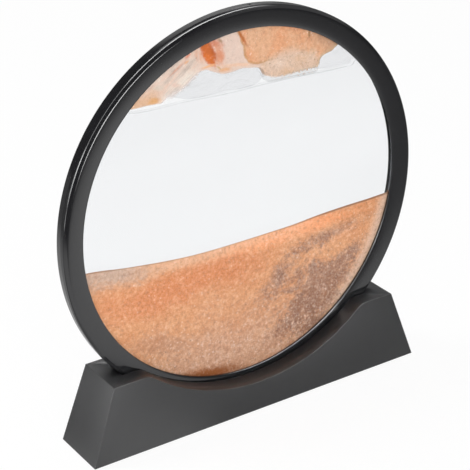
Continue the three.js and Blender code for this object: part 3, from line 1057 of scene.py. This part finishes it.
def add_camera():
    """The camera, placed by fitting the base's corners and the ring's edges to the picture."""
    data = bpy.data.cameras.new("camera")
    data.sensor_width = SENSOR_WIDTH
    data.lens = FOCAL_PIXELS * SENSOR_WIDTH / FRAME_PIXELS
    camera = bpy.data.objects.new("camera", data)
    bpy.context.scene.collection.objects.link(camera)
    look = Matrix.Rotation(-CAMERA_YAW, 4, "Z") @ Matrix.Rotation(math.pi / 2 - CAMERA_PITCH, 4, "X")
    camera.matrix_world = Matrix.Translation(CAMERA_PLACE) @ look @ Matrix.Rotation(CAMERA_ROLL, 4, "Z")
    bpy.context.scene.camera = camera


def add_lamp(name, direction, distance, width, power):
    """A soft square lamp that faces the disc and shows in no reflection."""
    data = bpy.data.lights.new(name, "AREA")
    data.shape = "SQUARE"
    data.size = width
    data.energy = power
    lamp = bpy.data.objects.new(name, data)
    bpy.context.scene.collection.objects.link(lamp)
    towards = Vector(direction).normalized()
    spot = Vector((0, 0, DISC_Z)) + towards * distance
    lamp.matrix_world = Matrix.Translation(spot) @ towards.to_track_quat("Z", "Y").to_matrix().to_4x4()
    lamp.visible_glossy = False
    lamp.visible_camera = False
    lamp.visible_transmission = False


def add_floor():
    """A floor that is white where it is seen and takes the shadow. In the gloss it glows unevenly with
    painted light: bright at its far ends and in front of the base, with painted shade close to the base.
    """
    shape = bmesh.new()
    bmesh.ops.create_grid(shape, x_segments=1, y_segments=1, size=FLOOR_HALF)
    floor = from_shape(shape, "floor")
    material, n = new_material("floor_white")
    white = n.ray("Camera").most(n.ray("Transmission"))
    right, back, _ = n.apart(n.place())
    # Painted light in the glow: bright patches far off to the left and to the front.
    left_end = n.zone((abs(back), 0.2, 0.13), (right, -0.5, -0.75))
    front_end = n.zone((back, -0.85, -1.1), (right, 0.3, 0.1), (right, -0.75, -0.65))
    # Painted light and shade in the glow: a lit stretch in front of the base that stops short of it,
    # leaving the floor next to the base's front dimmer, and a darker stretch behind it on the left.
    fore_end = n.rise(back, -0.055, -0.1).most(n.rise(right, 0.0, -0.05))
    fore = n.zone((back, -0.225, -0.13), (right, 0.205, 0.12)) * fore_end
    behind = n.zone((back, -0.02, 0.04), (right, 0.03, -0.03))
    far = n.rise(n.length(n.place()), 0.24, 0.46)
    close = n.zone((back, -0.15, -0.11), (back, 0.03, 0.0))
    lit = (fore * 1.03).most(close * 0.22)
    # Painted contact shadow: the glow is halved on the floor just off the base's left end.
    contact_shade = n.zone((right, -0.07, -0.1), (right, -0.3, -0.2), (abs(back - 0.03), 0.07, 0.04))
    level = (FLOOR_LEVEL + lit * (1 - behind) + behind * FLOOR_REAR_LEVEL) * (1 - far * 0.66)
    level = level * (1 - contact_shade * 0.5) + (left_end + front_end) * FLOOR_END_LEVEL
    matt = n.node("ShaderNodeBsdfDiffuse", None, {"Color": FLOOR_TONE})
    glow = n.node("ShaderNodeEmission", None, {"Color": WHITE, "Strength": level + white * (1 - level)})
    share = white * FLOOR_WHITE_SHARE + n.ray("Glossy")
    n.output(n.node("ShaderNodeMixShader", None, {0: share, 1: matt, 2: glow}))
    floor.data.materials.append(material)


def add_world():
    """White where it is seen, even light on matt surfaces, and a dark room with cards for the gloss."""
    world = bpy.data.worlds.new("studio")
    world.use_nodes = True
    bpy.context.scene.world = world
    n = Nodes(world.node_tree)
    white = n.ray("Camera").most(n.ray("Transmission"))
    right, back, up = n.apart(n.node("ShaderNodeTexCoord", output="Generated"))
    backdrop = n.zone((back, 0.3, 0.5), (up, 0.54, 0.42), (right, 0.02, 0.2))
    backdrop = backdrop * (1 - n.rise(right, 0.42, 0.62) * 0.6)
    hoop = n.zone((abs(back + 0.05), 0.26, 0.18), (right, 0.72, 0.45))
    hoop = hoop * (0.25 + n.rise(up, 0.0, 0.35) * 0.75)
    hoop = hoop * (1 - n.zone((right, -0.45, -0.58), (up, 0.34, 0.46)) * 0.72)
    left_card = n.zone((right, -0.72, -0.80), (back, 0.05, 0.15), (abs(up - 0.1), 0.3, 0.2))
    top_card = n.zone((up, 0.66, 0.74), (back, 0.05, 0.2), (right, -0.15, 0.0), (right, 0.38, 0.22))
    right_glow = n.zone((right, 0.2, 0.5), (up, 0.15, 0.32), (back, 0.2, -0.05))
    low_strip = n.zone((abs(up - 0.17), 0.2, 0.15), (back, -0.80, -0.9), (right, 0.29, 0.13))
    room = ROOM_LEVEL + backdrop * BACKDROP_LEVEL + right_glow * RIGHT_GLOW_LEVEL
    room = room + (left_card + top_card) * CARD_LEVEL + hoop * HOOP_LEVEL + low_strip * STRIP_LEVEL
    level = MATT_LEVEL + n.ray("Glossy") * (room - MATT_LEVEL)
    sky = n.node("ShaderNodeBackground", None, {"Color": WHITE, "Strength": level + white * (1 - level)})
    n.output(sky, "ShaderNodeOutputWorld")


add_camera()
add_floor()
add_world()
add_lamp("key", (-0.42, -0.86, 0.40), 1.6, 0.9, 14.2)
add_lamp("side_fill", (-0.65, 0.40, 0.65), 1.4, 0.5, 9)
bpy.context.scene.view_settings.view_transform = "Standard"
